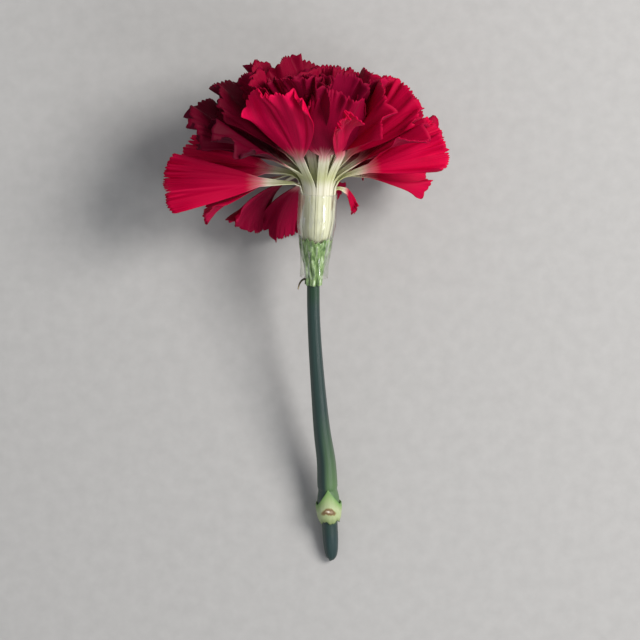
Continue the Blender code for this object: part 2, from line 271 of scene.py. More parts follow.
# %% Follow one petal's middle line
class Petal:
    """One petal: its claw's place, the course of its middle line, and its own ruffles."""

    STEP = 0.5 * MM
    TWIST_END = 0.4  # the part of the blade by which it has turned
    CURL_GROWTH = 1.2

    def __init__(self, ring, number, values):
        slot, aim, rises, twist, blade, fan = values
        self.name = f"{ring}_{number:02d}"
        self.back = -1 if ring == "guard_petal" else 1  # guard petals curl the other way
        self.radius, self.claw_width, self.claw = (size * MM for size in RINGS[ring])
        self.slot = math.radians(slot)
        rise = rises * math.sqrt(max(0.0, 1 - aim[0] ** 2 - aim[1] ** 2))
        x, y, z = head @ np.array([aim[0], aim[1], rise])
        self.polar = math.acos(y)
        self.azimuth = math.atan2(z, x)
        self.azimuth -= 2 * math.pi * round((self.azimuth - self.slot) / (2 * math.pi))
        self.look = {**PLAIN, **RUFFLES[ring], **OWN_RUFFLES.get(self.name, {})}
        self.twist = math.radians(twist + self.look["spin"])
        self.blade = blade * MM * self.look["long"]
        self.fan = math.radians(fan)
        self.curl = 0.0

    def course(self, level):
        """The directions along, across and square to the petal at these levels of its middle line."""
        swing = smooth(level / (self.claw * self.look["bend"]))
        azimuth = self.slot + (self.azimuth - self.slot) * swing
        in_blade = np.clip((level - self.claw) / self.blade, 0.0, None)
        polar = self.polar * swing + self.curl * in_blade**self.CURL_GROWTH
        nothing = np.zeros_like(azimuth)
        out = np.stack([np.cos(azimuth), nothing, np.sin(azimuth)], -1)
        along = out * np.sin(polar)[..., None] + np.stack([nothing, np.cos(polar), nothing], -1)
        across = np.stack([-np.sin(azimuth), nothing, np.cos(azimuth)], -1)
        face = np.cross(across, along)
        twist = (self.twist * smooth(level / (self.claw + self.TWIST_END * self.blade)))[..., None]
        turned = across * np.cos(twist) + face * np.sin(twist)
        return along, turned, face * np.cos(twist) - across * np.sin(twist)

    def walk(self):
        """Follows the directions in short steps, which gives the middle line itself."""
        steps = (np.arange(round((self.claw + self.blade) / self.STEP) + 1) + 0.5) * self.STEP
        start = np.array([math.cos(self.slot), 0.0, math.sin(self.slot)]) * self.radius
        self.line = np.vstack([start, start + np.cumsum(self.course(steps)[0] * self.STEP, axis=0)])

    def middle(self, level):
        """Points of the middle line, straight down the bundle below the mouth."""
        places = np.arange(len(self.line)) * self.STEP
        found = np.stack([np.interp(level, places, self.line[:, i]) for i in range(3)], -1)
        bundled = self.line[0] * bundle_share(level)[..., None]
        bundled[..., 1] += level
        return np.where((level <= 0)[..., None], bundled, found)

    def half_width(self, level):
        start = self.claw_width * bundle_share(level)
        return (start + (CLAW_END_WIDTH - start) * smooth(level / self.claw)) / 2


def bundle_share(level):
    """How far the bundle of claws has drawn in at these levels of the axis."""
    return np.interp(level, (CLAW_FOOT, CLAW_NECK, CLAW_SHOULDER), (FOOT_SHARE, NECK_SHARE, 1.0))


print("the bundle's foot is", float(bundle_share(CLAW_FOOT)), "of its width at the mouth")

# %% Rest the petals on the surface
CLEARANCE = 0.15 * MM
MOST_CURL = math.radians(100)
HALVINGS = 14


def heights(petal):
    """The heights above the surface of a coarse sheet: enough to tell where the petal would sink in."""
    side = np.linspace(-1, 1, 5)
    reach = np.linspace(0.25, 1, 4)[:, None] * petal.blade
    level = petal.claw + reach * np.cos(petal.fan * side)
    out = reach * np.sin(petal.fan * side) + side * CLAW_END_WIDTH / 2
    points = petal.middle(level) + petal.course(level)[1] * out[..., None]
    return MOUTH_HEIGHT + points @ head[:, 2]


def settle(petal):
    """Curls a blade just enough to lie on the surface instead of passing through it."""
    petal.walk()
    if heights(petal).min() >= CLEARANCE:
        return
    least, most = 0.0, MOST_CURL
    for _ in range(HALVINGS):
        petal.curl = -petal.back * (least + most) / 2
        petal.walk()
        if heights(petal).min() < CLEARANCE:
            least = abs(petal.curl)
        else:
            most = abs(petal.curl)


petals = [Petal(ring, i + 1, row) for ring, rows in PETALS.items() for i, row in enumerate(rows)]
for petal in petals:
    settle(petal)
print("petals curled onto the surface:", sum(petal.curl != 0 for petal in petals), "of", len(petals))

# %% [markdown]
# A carnation's margin looks cut with pinking shears: uneven triangular teeth, with a deeper notch here
# and there. A displacement map would blur them, so they are cut in the grid itself. It gets four columns
# for each tooth, so that every tip and every notch has a column of its own and stays sharp. The teeth
# differ in width and depth. Depths are in millimetres.

# %% Teeth along the margin
TEETH = 23
TOOTH_COLUMNS = 4
TOOTH_WIDTHS = (0.55, 1.45)
NOTCH_DEPTHS, TIP_DEPTHS = (0.45, 1.05), (0.0, 0.3)
DEEPER, DEEPER_CHANCE = 1.2, 0.10
FLANK_SHARE = 0.35  # how much of a notch's depth is left half way to the tip


def margin():
    """Places across a blade from -1 to 1, and how far its margin is cut back there, in metres."""
    widths = np.repeat(chance.uniform(*TOOTH_WIDTHS, TEETH), TOOTH_COLUMNS)
    side = np.concatenate([[0.0], np.cumsum(widths)])
    side = 2 * side / side[-1] - 1
    notches = chance.uniform(*NOTCH_DEPTHS, TEETH + 1) + DEEPER * (chance.random(TEETH + 1) < DEEPER_CHANCE)
    tips = chance.uniform(*TIP_DEPTHS, TEETH)
    cut = np.empty(TEETH * TOOTH_COLUMNS + 1)
    cut[::TOOTH_COLUMNS] = notches
    cut[2::TOOTH_COLUMNS] = tips
    cut[1::TOOTH_COLUMNS] = FLANK_SHARE * notches[:-1] + (1 - FLANK_SHARE) * tips
    cut[3::TOOTH_COLUMNS] = FLANK_SHARE * notches[1:] + (1 - FLANK_SHARE) * tips
    return side, cut * MM


print("teeth on each margin:", TEETH)

# %% [markdown]
# The sheet itself is a grid: rows run from the claw's foot to the margin, and columns cross from side
# to side. Each claw is hollowed a little round the bundle. Each blade is a fan about its neck, whose
# points are then pushed square to the sheet: by broad folds that grow towards the margin, by a fine
# frill along the margin, and by the roll of the whole edge. Sums of sine waves are enough for this, as
# long as their lengths don't divide into one another, so that no petal looks regular.

# %% Ruffle one blade
SWIRL = 0.35
FOLD_GROWTH = 1.6
FRILL = 0.75 * MM
FRILL_FROM = 0.5


def ruffles(look, side, share):
    """How far each point of a blade is pushed square to it."""
    phase, lean, frill = chance.uniform(0, 2 * math.pi, 3)
    swirl = chance.uniform(-SWIRL, SWIRL)
    bend = side + swirl * share + 0.12 * np.sin(2.2 * math.pi * side + lean)
    folds = np.sin(look["folds"] * math.pi * bend + phase) + 0.45 * np.sin(
        2.1 * look["folds"] * math.pi * bend + lean - 1.5 * share
    )
    fine = np.sin(5.1 * math.pi * bend + frill) + 0.7 * np.sin(8.3 * math.pi * bend + phase)
    push = look["wave"] * MM * folds * share**FOLD_GROWTH
    push = push + FRILL * fine * smooth((share - FRILL_FROM) / (1 - FRILL_FROM)) ** 2
    return push - look["roll"] * MM * share**3 * (1 + 0.6 * np.sin(2.3 * math.pi * side + frill))


print("frill along each margin:", round(FRILL / MM, 2), "mm")

# %% Build one petal's grid
BUNDLED_ROWS, FREE_ROWS, BLADE_ROWS = 4, 8, 22
TEETH_FROM = 0.72
CORNER_POWER = 2.6


def petal_points(petal):
    """A petal's points in head coordinates, its columns' places and its rows' places, foot to margin."""
    side, cut = margin()
    look = petal.look
    bundled = np.linspace(CLAW_FOOT, 0, BUNDLED_ROWS, endpoint=False)
    claw_levels = np.concatenate([bundled, np.linspace(0, petal.claw, FREE_ROWS)])
    level = np.repeat(claw_levels[:, None], len(side), axis=1)
    out = petal.half_width(level) * side
    hollow = (out**2 / (2 * petal.radius)) * (1 - 0.6 * smooth(level / petal.claw))
    share = np.linspace(0, 1, BLADE_ROWS + 1)[1:, None]
    rounded = petal.blade * (1 - look["round"] * np.abs(side) ** CORNER_POWER * share)
    reach = rounded * share - cut * smooth((share - TEETH_FROM) / (1 - TEETH_FROM))
    angle = petal.fan * look["wide"] * side * (1 + look["shoulder"] * (1 - share))
    angle = angle + math.radians(look["turn"])
    blade_level = petal.claw + reach * np.cos(angle)
    blade_out = reach * np.sin(angle) + side * CLAW_END_WIDTH / 2
    push = np.vstack([hollow, ruffles(look, side, share) + hollow[-1] * (1 - share)])
    level = np.vstack([level, blade_level])
    out = np.vstack([out, blade_out])
    across, face = petal.course(level)[1:]
    points = petal.middle(level) + across * out[..., None] + face * push[..., None]
    places = np.concatenate([np.linspace(0, 0.5, len(claw_levels)), 0.5 + 0.5 * share[:, 0]])
    return points, side, places


print("rows in each petal:", BUNDLED_ROWS + FREE_ROWS + BLADE_ROWS, "columns:", TEETH * TOOTH_COLUMNS + 1)

# %% [markdown]
# Every piece of the flower is a grid, so one function turns a grid into a mesh, with the grid's own
# columns and rows as its map. The materials read that map, so a vein or a streak follows the piece
# however it bends. Whatever would sink into the table is pressed flat on it, and a sheet gets its
# thickness from a Solidify modifier, which can give its face and its back different materials.

# %% From a grid to a piece of the scene
MAP = "lie"


def grid_mesh(name, points, across, along, around=False):
    """A mesh from a grid of points, with across and along as its map. around joins its two sides."""
    rows, columns = points.shape[:2]
    wrap = columns if around else columns - 1
    first = (np.arange(rows - 1)[:, None] * columns + np.arange(wrap)).ravel()
    next_one = (np.arange(rows - 1)[:, None] * columns + (np.arange(wrap) + 1) % columns).ravel()
    faces = np.stack([first, next_one, next_one + columns, first + columns], -1)
    mesh = bpy.data.meshes.new(name)
    mesh.from_pydata(points.reshape(-1, 3).tolist(), [], faces.tolist())
    mesh.shade_smooth()
    u = np.broadcast_to(across, (rows, columns)).ravel()[faces]
    v = np.broadcast_to(np.asarray(along)[:, None], (rows, columns)).ravel()[faces]
    if around:
        u[:, 1:3] = np.where(u[:, 1:3] < u[:, :1] - 0.5, u[:, 1:3] + 1, u[:, 1:3])
    layer = mesh.uv_layers.new(name=MAP)
    layer.data.foreach_set("uv", np.stack([u, v], -1).ravel())
    return mesh


def piece(name, mesh, node, materials, thickness=0.0):
    """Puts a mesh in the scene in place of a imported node. Two materials are a sheet's face and back."""
    made = bpy.data.objects.new(name, mesh)
    bpy.context.scene.collection.objects.link(made)
    for looks in materials:
        mesh.materials.append(looks)
    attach(made, "root")
    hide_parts(node)
    if thickness:
        solid = made.modifiers.new("thickness", "SOLIDIFY")
        solid.thickness = thickness
        solid.offset = 0
        solid.material_offset = len(materials) - 1
    print(name, "has", len(mesh.vertices), "points")


def to_world(points):
    return points @ head + mouth


def pressed(points, rest):
    """Keeps points above the surface: near it they flatten out softly towards a height of rest."""
    soft = 1.2 * MM
    height = points[..., 2] - surface - rest
    flattened = soft * np.exp(np.minimum(height - soft, 0) / soft)
    points[..., 2] = surface + rest + np.where(height > soft, height, flattened)
    return points


print("every grid's map is called", MAP)

# %% [markdown]
# ## The petal's colours
#
# The claw is a pale green cream with greener grooves. At the foot of the blade it turns white, then
# pink, then crimson within a few millimetres. Fine veins run out from the neck. They could be drawn
# line by line, but the map's first coordinate is the angle across the fan, so noise stretched along the
# second gives veins that spread as the blade does. The back of a petal is duller than its face. A petal
# is thin enough to glow a little when lit from behind, so some of the shader is translucent. Its skin is
# velvety: rough, with hardly any shine, and with a trace of sheen on its back from fine hairs.

# %% Helpers for materials


def add(tree, kind, inputs, output=0, stops=(), **settings):
    """Adds one node with its settings and its links, and gives back one of its outputs.

    Each input is a value or the output that feeds it. stops are the (place, colour) pairs of a ramp.
    """
    node = tree.nodes.new(kind)
    for name, value in settings.items():
        setattr(node, name, value)
    for name, value in inputs.items():
        if isinstance(value, bpy.types.NodeSocket):
            tree.links.new(value, node.inputs[name])
        else:
            node.inputs[name].default_value = value
    for _ in stops[2:]:
        node.color_ramp.elements.new(0.5)
    for element, (place, colour) in zip(node.color_ramp.elements if stops else (), stops):
        element.position = place
        element.color = linear(colour)
    return node.outputs[output] if node.outputs else None


def new_material(name):
    """An empty material and its node tree."""
    made = bpy.data.materials.new(name)
    made.use_nodes = True
    made.node_tree.nodes.clear()
    return made, made.node_tree


def map_of(tree):
    """The map that every grid has: the whole vector, the place across the piece and the place along it."""
    lie = add(tree, "ShaderNodeUVMap", {}, uv_map=MAP)
    apart = add(tree, "ShaderNodeSeparateXYZ", {"Vector": lie}).node.outputs
    return lie, apart["X"], apart["Y"]


print("helpers ready for the first material")

# %% The petal's face and its back
BLADE_WIDTH, VEIN_WIDTH = 32.2, 0.7
CLAW_WIDTH, FIBRE_WIDTH = 2.45, 0.35
CLAW_STOPS = ((0.0, "#f0efdb"), (0.24, "#f4f3e0"), (0.30, "#d6dba6"), (0.44, "#f2f1da"))
BLACK, WHITE = "#000000", "#ffffff"


def petal_material(name, bright, dark, foot, sheen):
    """Velvety petal skin over a pale fibrous claw. Each petal's level of painted light and shade sets where
    between the dark wine of painted shade and the bright crimson of painted light it is.
    """
    looks, tree = new_material(name)
    across, along = map_of(tree)[1:]
    painted_light = add(tree, "ShaderNodeAttribute", {}, output="Fac", attribute_name="painted_light")
    wide = add(tree, "ShaderNodeMath", {0: across, 1: BLADE_WIDTH / VEIN_WIDTH}, operation="MULTIPLY")
    stretched = add(tree, "ShaderNodeCombineXYZ", {"X": wide, "Y": along, "Z": painted_light})
    veins = add(
        tree, "ShaderNodeTexNoise", {"Vector": stretched, "Scale": 1.4, "Detail": 3.0, "Roughness": 0.6}
    )
    wander = add(tree, "ShaderNodeMath", {0: veins, 1: 0.16, 2: -0.08}, operation="MULTIPLY_ADD")
    edge = add(tree, "ShaderNodeMath", {0: along, 1: wander}, operation="ADD")

    darkened = add(tree, "ShaderNodeMath", {0: veins, 1: 0.55}, operation="MULTIPLY")
    # Painted light and shade: the petal's level mixes its crimson from the dark wine of shade to the bright
    # crimson of light.
    lit_and_shaded = {0: painted_light, 6: linear(dark), 7: linear(bright)}
    crimson = add(tree, "ShaderNodeMix", lit_and_shaded, output=2, data_type="RGBA")
    veined = {0: darkened, 6: crimson, 7: linear(dark)}
    crimson = add(tree, "ShaderNodeMix", veined, output=2, data_type="RGBA")

    whole = add(tree, "ShaderNodeValToRGB", {"Fac": edge}, stops=(*CLAW_STOPS, (0.50, foot), (0.62, foot)))
    narrow = add(tree, "ShaderNodeMath", {0: across, 1: CLAW_WIDTH / FIBRE_WIDTH}, operation="MULTIPLY")
    coarse = add(tree, "ShaderNodeCombineXYZ", {"X": narrow, "Y": along, "Z": painted_light})
    fibres = add(tree, "ShaderNodeTexNoise", {"Vector": coarse, "Scale": 1.6, "Detail": 2.0})
    grooves = add(tree, "ShaderNodeValToRGB", {"Fac": fibres}, stops=((0.47, BLACK), (0.66, "#b0b0b0")))
    grooved = {0: grooves, 6: whole, 7: linear("#a09a58")}
    whole = add(tree, "ShaderNodeMix", grooved, output=2, data_type="RGBA")

    to_crimson = add(tree, "ShaderNodeValToRGB", {"Fac": edge}, stops=((0.49, BLACK), (0.57, WHITE)))
    joined = {0: to_crimson, 6: whole, 7: crimson}
    colour = add(tree, "ShaderNodeMix", joined, output=2, data_type="RGBA")
    bump = add(tree, "ShaderNodeBump", {"Height": veins, "Strength": 0.5, "Distance": 0.25 * MM})
    skin = add(
        tree,
        "ShaderNodeBsdfPrincipled",
        {
            "Base Color": colour,
            "Roughness": 0.6,
            "Specular IOR Level": 0.1,
            "Sheen Weight": sheen,
            "Sheen Roughness": 0.45,
            "Sheen Tint": linear("#ff9fb0"),
            "Normal": bump,
        },
    )
    glow = add(tree, "ShaderNodeBsdfTranslucent", {"Color": colour, "Normal": bump})
    thin = add(tree, "ShaderNodeMixShader", {0: 0.22, 1: skin, 2: glow})
    add(tree, "ShaderNodeOutputMaterial", {"Surface": thin})
    return looks


# Each petal material's first colour is its crimson under painted light, and its second the wine of painted
# shade.
petal_face = petal_material("crimson_petal_face", "#ff0050", "#5c001f", "#ec8f9c", 0.0)
petal_back = petal_material("crimson_petal_back", "#f60456", "#560223", "#e8a3a6", 0.05)
print("petal materials:", petal_face.name, petal_back.name)

# %% Make all the petals
PETAL_THICKNESS = 0.22 * MM
REST_LEAST, REST_STEP, REST_STEPS = 0.3 * MM, 0.12 * MM, 7  # petals that touch the table lie in layers

for number, petal in enumerate(petals):
    points, side, places = petal_points(petal)
    rest = REST_LEAST + REST_STEP * (number % REST_STEPS)
    mesh = grid_mesh(petal.name, pressed(to_world(points), rest), side / 2 + 0.5, places)
    # Each petal's level of painted light and shade is stored on its points for the material.
    painted_light = mesh.attributes.new("painted_light", "FLOAT", "POINT")
    painted_light.data.foreach_set("value", np.full(len(mesh.vertices), petal.look["painted_light"], np.float32))
    piece("show_" + petal.name, mesh, petal.name, (petal_face, petal_back), PETAL_THICKNESS)
print("petals made:", len(petals))

# %% [markdown]
# ## The stem
#
# The stem is a bluish green rod, faintly angular, that thickens towards its node and ends in a slanted
# cut. A curve with a bevel would give a rod too, but not its faint facets. So rings of points are swept
# along a smooth line through its course, and each ring has its own radius and outline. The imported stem
# holds the same course. Its knots are (right, forwards, up, radius) in millimetres, first from the mouth
# of the bundle and then, past the node, as (level along the node's own axis, radius).

# %% The stem's course
STEM_COURSE = (
    (-1.3, -18.0, 26.2, 1.7),
    (-1.3, -26.7, 24.3, 1.8),
    (-1.2, -35.0, 22.2, 1.8),
    (-0.7, -45.0, 19.5, 1.9),
    (0.2, -57.0, 16.2, 2.1),
    (1.2, -68.0, 12.9, 2.4),
)
NODE = np.array([3.1, -90.3, 5.9]) * MM
NODE_SLOPE, NODE_SWING = math.radians(16.0), math.radians(-3.0)
NODE_COURSE = (
    (14.0, 2.7),
    (7.0, 2.9),
    (5.2, 2.7),
    (2.8, 3.1),
    (0.0, 3.2),
    (-2.8, 2.8),
    (-4.8, 2.3),
    (-10.0, 2.2),
    (-13.5, 1.95),
    (-15.4, 1.5),
    (-16.5, 0.7),
)
node_axis = direction(NODE_SLOPE, NODE_SWING)
beside = np.array([mouth[0], mouth[1], surface])
node_middle = beside + NODE


def through(knots, steps):
    """Points on a smooth curve through the knots, with every column treated alike."""
    knots = np.asarray(knots, float)
    ends = np.vstack([2 * knots[0] - knots[1], knots, 2 * knots[-1] - knots[-2]])
    share = np.linspace(0, 1, steps, endpoint=False)[:, None]
    found = []
    for a, b, c, d in zip(ends, ends[1:], ends[2:], ends[3:]):
        found.append(
            b
            + 0.5 * share * (c - a)
            + share**2 * (a - 2.5 * b + 2 * c - 0.5 * d)
            + share**3 * (-0.5 * a + 1.5 * b - 1.5 * c + 0.5 * d)
        )
    return np.vstack([*found, knots[-1]])


def tube(centres, radii, around):
    """A grid of points round a line: one ring for each centre, and one radius for each point."""
    along = np.gradient(centres, axis=0)
    along /= np.linalg.norm(along, axis=1)[:, None]
    sideways = np.cross(along, [0.0, 0.0, 1.0])
    sideways /= np.linalg.norm(sideways, axis=1)[:, None]
    upwards = np.cross(sideways, along)
    turn = np.arange(around) / around * 2 * math.pi
    ring = sideways[:, None] * np.cos(turn)[:, None] + upwards[:, None] * np.sin(turn)[:, None]
    return centres[:, None] + ring * radii[..., None]


knots = [np.array([*(beside + np.array(knot[:3]) * MM), knot[3] * MM]) for knot in STEM_COURSE]
knots += [np.array([*(node_middle + node_axis * level * MM), radius * MM]) for level, radius in NODE_COURSE]
stem_line = through(knots, 8)
print("stem line:", len(stem_line), "rings")

# %% [markdown]
# A carnation's stem carries a wax bloom. Where it is whole it looks pale and bluish, and where fingers
# have rubbed it off the skin is dark and a little glossy. A picture wrapped round it could show that, but
# ramps over the map keep every colour easy to change. The first coordinate of the map runs from the left
# edge over the top to the right edge at a half, and back underneath. Nearly all of the skin is dark blue
# green, with a fresher green along its left edge and on its top and right towards the node, darker below
# the node and at the calyx, and faint pale streaks of wax all along.

# %% The stem's material
STEM_GIRTH, STREAK_WIDTH = 12.0, 0.2
STEM_LENGTH, STREAK_LENGTH = 91.0, 13.0
HALF_TURN = 0.5
EDGE_STOPS = ((0.49, "#54814a"), (0.55, "#24403a"), (1.0, "#1d2f2f"))  # the left edge is at a half turn
GREEN_ALONG = ((0.28, BLACK), (0.44, "#9c9c9c"), (0.72, "#9c9c9c"), (0.75, BLACK))
GREEN_ROUND = ((0.19, BLACK), (0.25, WHITE), (0.52, WHITE), (0.56, BLACK))
BELOW_NODE = ((0.775, BLACK), (0.79, "#bbbbbb"), (1.0, "#888888"))


def stem_material():
    """Waxy stem skin: dark blue green with pale streaks of bloom, and one slightly glossy roughness all over.
    """
    looks, tree = new_material("waxy_green_stem")
    lie, around, along = map_of(tree)
    scale = (STEM_GIRTH / STREAK_WIDTH, STEM_LENGTH / STREAK_LENGTH, 1.0)
    stretched = add(tree, "ShaderNodeVectorMath", {0: lie, 1: scale}, operation="MULTIPLY")
    streaks = add(
        tree, "ShaderNodeTexNoise", {"Vector": stretched, "Scale": 1.0, "Detail": 4.0, "Roughness": 0.6}
    )
    wander = add(tree, "ShaderNodeMath", {0: streaks, 1: 0.03, 2: HALF_TURN}, operation="MULTIPLY_ADD")
    side = add(tree, "ShaderNodeMath", {0: around, 1: wander}, operation="ADD")
    colour = add(tree, "ShaderNodeValToRGB", {"Fac": side}, stops=EDGE_STOPS)

    green_along = add(tree, "ShaderNodeValToRGB", {"Fac": along}, stops=GREEN_ALONG)
    green_round = add(tree, "ShaderNodeValToRGB", {"Fac": around}, stops=GREEN_ROUND)
    green_part = add(tree, "ShaderNodeMath", {0: green_along, 1: green_round}, operation="MULTIPLY")
    below_node = add(tree, "ShaderNodeValToRGB", {"Fac": along}, stops=BELOW_NODE)
    collar = add(tree, "ShaderNodeValToRGB", {"Fac": along}, stops=((0.09, WHITE), (0.12, BLACK)))
    bloom = add(tree, "ShaderNodeValToRGB", {"Fac": streaks}, stops=((0.48, BLACK), (0.75, "#484848")))
    for part, tint in (
        (green_part, "#7fa860"),
        (below_node, "#1f363b"),
        (collar, "#1b3a26"),
        (bloom, "#8fa6a4"),
    ):
        tinted = {0: part, 6: colour, 7: linear(tint)}
        colour = add(tree, "ShaderNodeMix", tinted, output=2, data_type="RGBA")
    bump = add(tree, "ShaderNodeBump", {"Height": streaks, "Strength": 0.35, "Distance": 0.2 * MM})
    waxy = {"Base Color": colour, "Roughness": 0.38, "Specular IOR Level": 0.5, "Normal": bump}
    skin = add(tree, "ShaderNodeBsdfPrincipled", waxy)
    add(tree, "ShaderNodeOutputMaterial", {"Surface": skin})
    return looks


stem_skin = stem_material()
print("stem material:", stem_skin.name, "with", len(stem_skin.node_tree.nodes), "nodes")

# %% Build the stem
AROUND = 48
SLANT = 0.25 * MM
turns = np.arange(AROUND) / AROUND * 2 * math.pi
stem_share = np.linspace(0, 1, len(stem_line))
facets = 1 + 0.035 * np.cos(3 * turns[None] + 2.5 * stem_share[:, None]) + 0.02 * np.cos(5 * turns[None] + 1)
points = tube(stem_line[:, :3], stem_line[:, 3:] * facets, AROUND)
points[-1] -= node_axis * SLANT * np.cos(turns)[:, None]


def closed_ends(points):
    """Draws the first and last ring in to a point, so that a tube is one closed body."""
    first, last = points[:1].mean(1, keepdims=True), points[-1:].mean(1, keepdims=True)
    inner = [points[:1] * share + first * (1 - share) for share in (0.02, 0.6)]
    outer = [points[-1:] * share + last * (1 - share) for share in (0.7, 0.02)]
    return np.vstack([*inner, points, *outer])


points = closed_ends(points)
mesh = grid_mesh("stem", points, turns / (2 * math.pi), np.linspace(0, 1, len(points)), around=True)
piece("show_stem", mesh, "stem", (stem_skin,))

# %% [markdown]
# ## The leaf sheath
#
# Where a leaf pair was stripped from the node, a pale ring of its base is left, with a brown scar. It
# rises to a point on the side towards the flower and ends in a torn edge below. It could be cut out of a
# tube with a Boolean, but that leaves ragged faces. So it is a sheet wrapped round the node, and its
# upper and lower edges are moved: the upper one up to the point, the lower one by two waves.

# %% The sheath's material
SHEATH_GIRTH, VEINLET_WIDTH = 23.8, 0.7
SHEATH_HEIGHT, VEINLET_LENGTH = 10.5, 3.5
SHEATH_STOPS = ((0.0, "#5f8a48"), (0.18, "#86a266"), (0.45, "#adba8e"), (0.80, "#a6b583"), (1.0, "#7f9159"))
SCAR_AROUND, SCAR_DOWN = 0.26, 0.60
SCAR_NARROW, SCAR_FLAT = 6.0, 5.5  # more makes the scar smaller across and down
SCAR_STOPS = ((0.40, "#e4dccb"), (0.52, "#9a8468"), (0.70, "#6e5638"), (0.88, "#8f8254"))


def sheath_material():
    """Dull leaf base with fine veins, and an oval scar that is pale inside and brown round its rim."""
    looks, tree = new_material("pale_leaf_sheath")
    lie, around, down = map_of(tree)
    scale = (SHEATH_GIRTH / VEINLET_WIDTH, SHEATH_HEIGHT / VEINLET_LENGTH, 1.0)
    stretched = add(tree, "ShaderNodeVectorMath", {0: lie, 1: scale}, operation="MULTIPLY")
    streaks = add(tree, "ShaderNodeTexNoise", {"Vector": stretched, "Scale": 1.0, "Detail": 4.0})
    body = add(tree, "ShaderNodeValToRGB", {"Fac": down}, stops=SHEATH_STOPS)
    veinlets = add(tree, "ShaderNodeValToRGB", {"Fac": streaks}, stops=((0.45, BLACK), (0.8, "#777777")))
    veined = {0: veinlets, 6: body, 7: linear("#5d7a45")}
    colour = add(tree, "ShaderNodeMix", veined, output=2, data_type="RGBA")

    squares = []
    for place, middle, narrow in ((around, SCAR_AROUND, SCAR_NARROW), (down, SCAR_DOWN, SCAR_FLAT)):
        moved = {0: place, 1: narrow, 2: -narrow * middle}
        offset = add(tree, "ShaderNodeMath", moved, operation="MULTIPLY_ADD")
        squares.append(add(tree, "ShaderNodeMath", {0: offset, 1: 2.0}, operation="POWER"))
    both = add(tree, "ShaderNodeMath", {0: squares[0], 1: squares[1]}, operation="ADD")
    away = add(tree, "ShaderNodeMath", {0: both}, operation="SQRT")
    uneven = add(tree, "ShaderNodeMath", {0: streaks, 1: 0.6}, operation="MULTIPLY")
    away = add(tree, "ShaderNodeMath", {0: away, 1: uneven}, operation="ADD")
    scar = add(tree, "ShaderNodeValToRGB", {"Fac": away}, stops=SCAR_STOPS)
    in_scar = add(tree, "ShaderNodeValToRGB", {"Fac": away}, stops=((0.88, WHITE), (1.0, BLACK)))
    colour = add(tree, "ShaderNodeMix", {0: in_scar, 6: colour, 7: scar}, output=2, data_type="RGBA")
    bump = add(tree, "ShaderNodeBump", {"Height": streaks, "Strength": 0.4, "Distance": 0.2 * MM})
    skin = add(tree, "ShaderNodeBsdfPrincipled", {"Base Color": colour, "Roughness": 0.45, "Normal": bump})
    add(tree, "ShaderNodeOutputMaterial", {"Surface": skin})
    return looks


sheath_skin = sheath_material()
print("sheath material:", sheath_skin.name, "with", len(sheath_skin.node_tree.nodes), "nodes")

# %% Build the sheath
SHEATH_COURSE = ((6.3, 2.95), (4.0, 3.3), (2.0, 3.7), (0.0, 3.85), (-2.8, 3.5), (-4.6, 2.9))
SHEATH_ROWS = 26
SHEATH_THICKNESS = 0.3
UPPER_EDGE, POINT_RISE, POINT_SPREAD = 1.3, 4.9, math.radians(58)
LOWER_EDGE = -4.1


def radius_at(course, levels):
    """The radii in millimetres at these levels of a course of (level, radius) pairs, highest first."""
    return np.interp(-levels, [-level for level, _ in course], [radius for _, radius in course])


from_top = np.abs((turns - math.pi / 2 + math.pi) % (2 * math.pi) - math.pi)
upper = UPPER_EDGE + POINT_RISE * np.clip(1 - from_top / POINT_SPREAD, 0, 1)
lower = LOWER_EDGE - 0.45 * np.sin(5 * turns + 1.0) - 0.25 * np.sin(13 * turns)
share = np.linspace(0, 1, SHEATH_ROWS)[:, None]
levels = upper + (lower - upper) * share
radii = radius_at(SHEATH_COURSE, levels) - SHEATH_THICKNESS / 2
sideways = np.cross(node_axis, [0.0, 0.0, 1.0])
sideways /= np.linalg.norm(sideways)
upwards = np.cross(sideways, node_axis)
ring = sideways * np.cos(turns)[:, None] + upwards * np.sin(turns)[:, None]
points = node_middle + ring * (radii * MM)[..., None] + node_axis * (levels * MM)[..., None]
points[..., 2] = np.maximum(points[..., 2], surface + 0.2 * MM)
mesh = grid_mesh("leaf_sheath", points, turns / (2 * math.pi), share[:, 0], around=True)
piece("show_leaf_sheath", mesh, "leaf_sheath", (sheath_skin,), SHEATH_THICKNESS * MM)

# %% [markdown]
# ## The calyx under the tape
#
# The green cup that once held the petals has split and been torn away, down to its wrinkled base. Under
# the tape its skin looks wet and glossy. It could be sculpted, but it is nearly round. So it is turned
# like a pot, its upper edge is torn by two waves, and it is creased lengthways. Noise stretched along
# it mottles the skin green, with painted shade in its dark hollows and painted highlights on its pale
# ridges, and a coat gives the wet gloss.

# %% The calyx's material
CALYX_GIRTH, MOTTLE_WIDTH = 21.0, 1.4
CALYX_HEIGHT, MOTTLE_LENGTH = 14.0, 4.0
# The green mottle of the calyx, with painted shade at its dark end and painted highlights at its pale end.
MOTTLE_SHADE_AND_HIGHLIGHT_STOPS = ((0.34, "#1c3418"), (0.43, "#527339"), (0.56, "#93b174"), (0.72, "#eaf4e0"))


